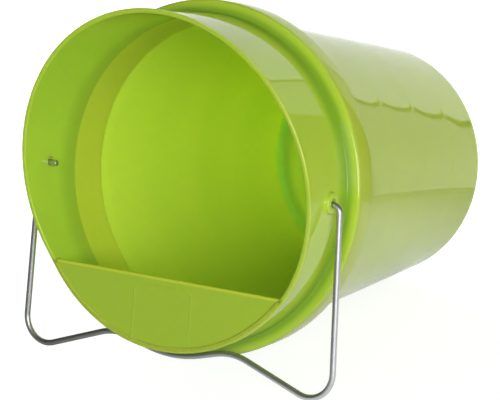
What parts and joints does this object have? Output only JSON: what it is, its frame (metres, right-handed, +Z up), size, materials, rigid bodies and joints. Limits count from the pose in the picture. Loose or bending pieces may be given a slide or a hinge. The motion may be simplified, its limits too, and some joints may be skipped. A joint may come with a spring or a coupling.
{
  "type": "poultry drinker",
  "caption": "Bucket drinker for poultry, lying on its side: tapered tub, push-fit ring with a half-moon dam at the mouth, and a bent wire bail that serves as front stand and handle.",
  "frame": {"origin": "centre of the bounding box at the level of the ground, with the drinker lying as in use on the lower edge of its base and the two feet of its bail", "axes": "+Y from the mouth to the base, +Z up, +X to the right of someone who faces the mouth"},
  "size_m": [0.3036, 0.385, 0.3005],
  "materials": {
    "lime_plastic": "glossy moulded polypropylene, lime green, slightly translucent",
    "galvanised_wire": "drawn and zinc-plated steel wire, satin",
    "dark_rubber": "matt black gasket rubber"
  },
  "bodies": {
    "bucket": {"bucket_body": "lime_plastic"},
    "ring": {"drinking_ring": "lime_plastic", "rim_gasket": "dark_rubber"},
    "bail": {"wire_bail": "galvanised_wire"}
  },
  "joints": [
    {"name": "ring_pull_off", "type": "slide", "parent": "bucket", "child": "ring", "axis": [0, -0.9887, 0.15], "range_m": [0, 0.06]},
    {"name": "bail_swing", "type": "hinge", "parent": "ring", "child": "bail", "pos_m": [0, -0.15283, 0.15453], "axis": [-1, 0, 0], "range_deg": [-8.5, 152]}
  ]
}
